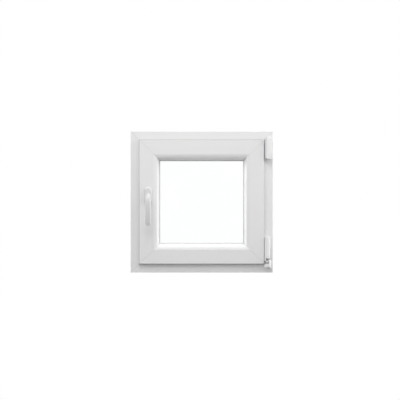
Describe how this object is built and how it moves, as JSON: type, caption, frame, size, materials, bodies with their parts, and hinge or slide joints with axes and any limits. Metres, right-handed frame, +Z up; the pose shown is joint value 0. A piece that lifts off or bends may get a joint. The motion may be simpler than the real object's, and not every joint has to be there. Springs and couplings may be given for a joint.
{
  "type": "tilt-and-turn window",
  "caption": "Small single-sash inward-opening tilt-and-turn window in white plastic profiles, with double glazing, lever handle, drive gear, stay and corner hinge.",
  "frame": {"origin": "centre of the sill face, under the outer frame, halfway through its depth", "axes": "+X to the right as seen from the room, +Y from the room to the outside, +Z up"},
  "size_m": [0.57, 0.1407, 0.565],
  "materials": {
    "white_pvc": "satin gloss",
    "grey_gasket": "matt",
    "white_cap": "gloss",
    "white_coated_aluminium": "satin",
    "galvanised_steel": "dull",
    "silver_hardware": "satin",
    "clear_glass": "clear",
    "bare_aluminium": "satin",
    "black_sealant": "matt",
    "grey_packer": "matt"
  },
  "bodies": {
    "frame": {"frame_sill_rail": "white_pvc", "frame_head_rail": "white_pvc", "frame_handle_jamb": "white_pvc", "frame_hinge_jamb": "white_pvc", "frame_reinforcement": "galvanised_steel", "frame_seal": "grey_gasket", "drain_caps": "white_pvc", "top_keep": "silver_hardware", "tilt_keep": "silver_hardware", "keep_screws": "silver_hardware", "corner_bearing": "silver_hardware", "corner_bearing_cover": "white_cap", "corner_bearing_screws": "silver_hardware", "stay_bearing": "silver_hardware", "stay_pin": "silver_hardware", "stay_bearing_cover": "white_cap", "stay_bearing_screws": "silver_hardware"},
    "corner_pivot": {"corner_pivot": "silver_hardware"},
    "sash": {"sash_bottom_rail": "white_pvc", "sash_top_rail": "white_pvc", "sash_handle_stile": "white_pvc", "sash_hinge_stile": "white_pvc", "sash_reinforcement": "galvanised_steel", "sash_seal": "grey_gasket", "glazing_bead_bottom": "white_pvc", "glazing_bead_top": "white_pvc", "glazing_bead_left": "white_pvc", "glazing_bead_right": "white_pvc", "bead_seal": "grey_gasket", "glazing_seal": "grey_gasket", "inner_pane": "clear_glass", "outer_pane": "clear_glass", "edge_sealant": "black_sealant", "spacer_bars": "bare_aluminium", "glazing_packers": "grey_packer", "gear_case": "silver_hardware", "side_faceplate": "silver_hardware", "top_faceplate": "silver_hardware", "corner_drive": "silver_hardware", "faceplate_screws": "silver_hardware", "stay_guide": "silver_hardware", "hinge_band": "silver_hardware", "hinge_band_cover": "white_cap", "hinge_band_screws": "silver_hardware", "handle_base": "grey_packer", "handle_rosette": "white_coated_aluminium", "handle_screws": "silver_hardware"},
    "handle": {"handle_lever": "white_coated_aluminium", "handle_spindle": "silver_hardware", "gear_pinion": "silver_hardware"},
    "side_rod": {"side_rod": "silver_hardware", "tilt_cam": "silver_hardware"},
    "top_rod": {"top_rod": "silver_hardware", "top_cam": "silver_hardware"},
    "stay_arm": {"stay_arm": "silver_hardware"},
    "stay_link": {"stay_link": "silver_hardware"}
  },
  "joints": [
    {"name": "sash_turn", "type": "hinge", "parent": "frame", "child": "corner_pivot", "pos_m": [0.263, -0.047, 0.03], "axis": [0, 0, 1], "range_deg": [0, 90]},
    {"name": "sash_tilt", "type": "hinge", "parent": "corner_pivot", "child": "sash", "pos_m": [0.263, -0.047, 0.0435], "axis": [1, 0, 0], "range_deg": [0, 11]},
    {"name": "stay_swing", "type": "hinge", "parent": "corner_pivot", "child": "stay_arm", "pos_m": [0.263, -0.047, 0.495], "axis": [0, 0, 1], "range_deg": [0, 21.5]},
    {"name": "link_swing", "type": "hinge", "parent": "stay_arm", "child": "stay_link", "pos_m": [0.088, -0.0255, 0.517], "axis": [0, 0, 1], "range_deg": [-41.5, 0]},
    {"name": "handle_turn", "type": "hinge", "parent": "sash", "child": "handle", "pos_m": [-0.21449, -0.049, 0.308], "axis": [0, -1, 0], "range_deg": [0, 180]},
    {"name": "side_rod_slide", "type": "slide", "parent": "sash", "child": "side_rod", "axis": [0, 0, -1], "range_m": [0, 0.0361]},
    {"name": "top_rod_slide", "type": "slide", "parent": "sash", "child": "top_rod", "axis": [-1, 0, 0], "range_m": [0, 0.0361]}
  ],
  "couplings": [
    {"joint": "stay_swing", "follows": "sash_tilt", "ratio": 1.9465},
    {"joint": "link_swing", "follows": "sash_tilt", "ratio": -3.751},
    {"joint": "side_rod_slide", "follows": "handle_turn", "m_per_rad": 0.011459},
    {"joint": "top_rod_slide", "follows": "handle_turn", "m_per_rad": 0.011459}
  ]
}
